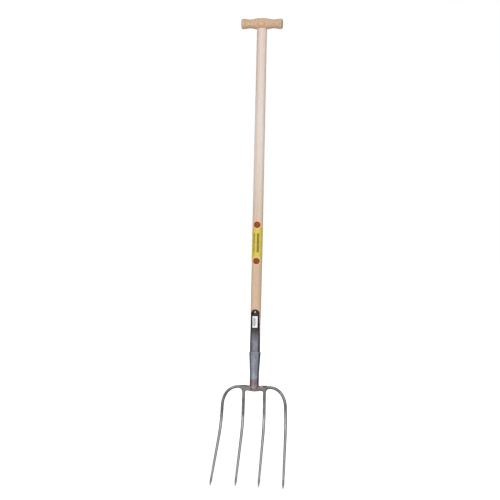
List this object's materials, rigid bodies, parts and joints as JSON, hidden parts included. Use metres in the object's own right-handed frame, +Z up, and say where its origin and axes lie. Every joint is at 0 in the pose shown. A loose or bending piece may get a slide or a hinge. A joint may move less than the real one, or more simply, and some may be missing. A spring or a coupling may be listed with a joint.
{
  "type": "muck fork",
  "caption": "Long-handled forged muck fork with slender dished tines on an arched cross bar, a conical ferrule, riveted steel straps and a wooden pole with a turned T grip.",
  "frame": {"origin": "On the pole's axis, level with the underside of the T grip's two necks, where the fork hangs on the prongs of a rack.", "axes": "+Z runs up the pole to the T grip, which lies along X, and the tines lean forward, towards -Y, with two of them on each side of the YZ plane."},
  "size_m": [0.2208, 0.1533, 1.4006],
  "materials": {
    "forged_steel": "forged and ground, clear lacquered, grey with a slight green and brown cast",
    "ferrule_steel": "blue-grey scale, with a purple-red heat tint at the lower end",
    "strap_steel": "dark oiled steel, nearly black at the upper end",
    "rivet_steel": "bright hammered head",
    "pole_wood": "pale sanded hardwood, straight grain",
    "grip_wood": "turned and sanded hardwood, warmer than the pole",
    "wedge_wood": "sawn hardwood",
    "label_print": "printed paper, satin",
    "sticker_paper": "white paper, satin"
  },
  "bodies": {
    "root": {"fork_head": "forged_steel", "ferrule": "ferrule_steel", "front_strap": "strap_steel", "back_strap": "strap_steel", "strap_rivet": "rivet_steel", "pole": "pole_wood", "t_grip": "grip_wood", "grip_wedge": "wedge_wood", "pole_label": "label_print", "price_sticker": "sticker_paper"}
  },
  "joints": []
}
